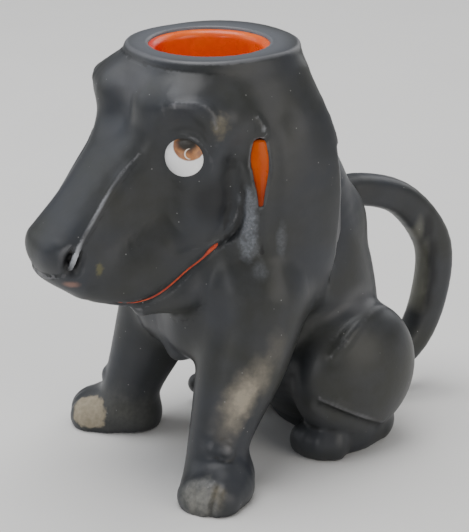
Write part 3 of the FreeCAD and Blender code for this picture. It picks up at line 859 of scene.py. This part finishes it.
def eye_ball(name, side, enamel):
    """The painted ball of one eye, side 1 on the left and -1 on the right."""
    middle, radius = eye_middle * (side, 1, 1), eye_radius
    rings, spokes = 32, 48
    around = np.arange(spokes) * 2 * np.pi / spokes
    points = [middle + (0, 0, radius)]
    for lean in np.arange(1, rings) * np.pi / rings:
        for way in around:
            out = (np.sin(lean) * np.cos(way), np.sin(lean) * np.sin(way), np.cos(lean))
            points.append(middle + radius * np.array(out))
    points.append(middle - (0, 0, radius))
    faces = [(0, 1 + k, 1 + (k + 1) % spokes) for k in range(spokes)]
    for ring in range(rings - 2):
        start = 1 + ring * spokes
        for k in range(spokes):
            n = (k + 1) % spokes
            faces.append((start + k, start + spokes + k, start + spokes + n, start + n))
    last = 1 + (rings - 2) * spokes
    faces += [(last + k, len(points) - 1, last + (k + 1) % spokes) for k in range(spokes)]
    return new_piece(name, in_place(points), faces, enamel)


def ear_lining(name, side, glaze):
    """The glazed floor of an ear's slot, a little behind its opening and a little wider."""
    way_x, way_y, _ = slot_way
    set_back, wider, depth = 0.75, 0.25, 0.7
    rows = [
        (side * (x - set_back * way_y), y + set_back * way_x, z, width + wider, depth)
        for x, y, z, width, _ in slot_line
    ]
    form = Clay().add(Limb(rows, 12, (way_x * side, way_y, 0)), 1)
    points, faces = skin(form.distance, form.low - 1, form.high + 1, 0.3)
    points, _ = settled(form.distance, points)
    return new_piece(name, in_place(points), faces, glaze)


def mouth_stroke(clay, enamel):
    """The painted line of the mouth, laid along its groove by Geometry Nodes."""
    half_width = 0.55
    line = laid(clay, smooth_rows(mouth_line, 30), 0.12)
    mirrored_line = line * (-1, 1, 1)
    curve = bpy.data.curves.new("mouth_path", "CURVE")
    curve.dimensions = "3D"
    for run in (line, mirrored_line):
        spline = curve.splines.new("NURBS")
        spline.points.add(len(run) - 1)
        for point, place in zip(spline.points, in_place(run)):
            point.co = (*place, 1)
        spline.order_u, spline.use_endpoint_u, spline.resolution_u = 3, True, 8
    holder = bpy.data.objects.new("mouth_path", curve)
    bpy.context.scene.collection.objects.link(holder)
    tree = bpy.data.node_groups.new("stroke", "GeometryNodeTree")
    tree.interface.new_socket("Geometry", in_out="INPUT", socket_type="NodeSocketGeometry")
    tree.interface.new_socket("Half Width", in_out="INPUT", socket_type="NodeSocketFloat")
    tree.interface.new_socket("Material", in_out="INPUT", socket_type="NodeSocketMaterial")
    tree.interface.new_socket("Geometry", in_out="OUTPUT", socket_type="NodeSocketGeometry")
    names = ("NodeGroupInput", "GeometryNodeSplineParameter", "ShaderNodeFloatCurve", "ShaderNodeMath",
             "GeometryNodeCurvePrimitiveCircle", "GeometryNodeSetCurveRadius", "GeometryNodeCurveToMesh",
             "GeometryNodeRealizeInstances", "GeometryNodeSetMaterial", "NodeGroupOutput")
    nodes = [tree.nodes.new(name) for name in names]
    given, along, shape, width, ring, thick, sweep, real, dress, result = nodes
    stops = shape.mapping.curves[0].points
    stops[0].location, stops[1].location = (0, 0.3), (1, 0.25)
    for place in ((0.06, 1.0), (0.12, 0.75), (0.18, 0.5), (0.6, 0.48)):
        stops.new(*place)
    shape.mapping.update()
    ring.inputs["Resolution"].default_value = 10
    ring.inputs["Radius"].default_value = 1
    width.operation = "MULTIPLY"
    sweep.inputs["Fill Caps"].default_value = True
    for start, end in (
        (along.outputs["Factor"], shape.inputs["Value"]), (shape.outputs[0], width.inputs[0]),
        (given.outputs["Half Width"], width.inputs[1]), (given.outputs["Geometry"], thick.inputs["Curve"]),
        (width.outputs[0], thick.inputs["Radius"]), (thick.outputs[0], sweep.inputs["Curve"]),
        (ring.outputs[0], sweep.inputs["Profile Curve"]), (sweep.outputs[0], real.inputs[0]),
        (real.outputs[0], dress.inputs["Geometry"]), (given.outputs["Material"], dress.inputs["Material"]),
        (dress.outputs[0], result.inputs[0]),
    ):
        tree.links.new(start, end)
    if "Scale" in sweep.inputs:
        tree.links.new(width.outputs[0], sweep.inputs["Scale"])
    stroke = holder.modifiers.new("stroke", "NODES")
    stroke.node_group = tree
    for item in tree.interface.items_tree:
        if item.name == "Half Width":
            stroke[item.identifier] = half_width * step_size
        if item.name == "Material":
            stroke[item.identifier] = enamel
    made = bpy.data.meshes.new_from_object(holder.evaluated_get(bpy.context.evaluated_depsgraph_get()))
    made.name = "mouth_stroke"
    bpy.data.objects.remove(holder)
    made.shade_smooth()
    piece = bpy.data.objects.new("mouth_stroke", made)
    bpy.context.scene.collection.objects.link(piece)
    return piece


charcoal, enamel, red = charcoal_glaze(), eye_enamel(), mouth_enamel()
orange, ear_orange = orange_glaze("orange_glaze", 0.5), orange_glaze("orange_glaze_in_ears", 0.18)
clay = figure()
hound = hound_skin(clay, charcoal)
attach(hound, "root")
hands = (("left", 1), ("right", -1))
sides = ("ear", "foreleg", "forepaw", "haunch", "hind_paw")
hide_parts("body_casting", "head_casting", "lower_jaw", "handle",
            *[hand + "_" + part for hand in ("left", "right") for part in sides])
for hand, side in hands:
    ball = eye_ball(hand + "_painted_eye", side, enamel)
    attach(ball, "root")
    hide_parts(hand + "_eye")
stroke = mouth_stroke(clay, red)
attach(stroke, "root")
for hand, side in hands:
    lining = ear_lining(hand + "_ear_lining", side, ear_orange)
    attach(lining, "root")
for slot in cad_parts["candle_socket"].material_slots:
    slot.material = orange


def aimed(name, data, place, point):
    """A lamp or a camera at a place, turned to a point."""
    holder = bpy.data.objects.new(name, data)
    holder.location = place
    holder.rotation_euler = (Vector(point) - holder.location).to_track_quat("-Z", "Y").to_euler()
    bpy.context.scene.collection.objects.link(holder)
    return holder


def studio():
    """A pale floor, soft lights round the figure, and the camera."""
    paper = Finish("pale_floor", {"Roughness": 0.9, "Specular IOR Level": 0.1})
    tone = paper.mix(paper.noise(60, 2), paint(226, 225, 222), paint(232, 231, 229))
    reach = 4
    corners = [(x * reach, y * reach, 0) for x, y in ((-1, -1), (1, -1), (1, 1), (-1, 1))]
    floor = new_piece("floor", corners, [(0, 1, 2, 3)], paper.feed({"Base Color": tone}))
    floor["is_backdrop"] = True
    lit_point, seen_point = (0, 0, 0.05), (0.00298, -0.00782, 0.04419)
    for name, place, size, power, colour in (
        ("top_light", (-0.10, -0.14, 0.95), 0.85, 9.0, (1.0, 1.0, 1.0)),
        ("left_light", (-0.75, -0.75, 0.65), 1.1, 3.8, (0.93, 0.96, 1.0)),
        ("right_light", (0.97, 0.28, 0.28), 0.8, 4.2, (1.0, 0.95, 0.88)),
        ("back_light", (-0.30, 0.95, 0.60), 0.9, 3.6, (1, 1, 1)),
        ("front_light", (0.45, -0.90, 0.22), 0.3, 1.3, (1, 1, 1)),
    ):
        lamp = bpy.data.lights.new(name, "AREA")
        lamp.shape, lamp.size, lamp.energy, lamp.color = "DISK", size, power, colour
        aimed(name, lamp, place, lit_point)
    world = bpy.data.worlds.new("studio")
    world.use_nodes = True
    sky = world.node_tree.nodes["Background"]
    sky.inputs["Color"].default_value = (0.9, 0.93, 1.0, 1)
    sky.inputs["Strength"].default_value = 0.27
    bpy.context.scene.world = world
    camera = bpy.data.cameras.new("camera")
    camera.lens, camera.sensor_width, camera.sensor_fit = 126.1, 36, "AUTO"
    bpy.context.scene.camera = aimed("camera", camera, (0.3304, -0.2207, 0.1944), seen_point)


studio()
({name: [list(corner) for corner in box]
           for name, box in (("cad", cad_box), ("visual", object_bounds()))})
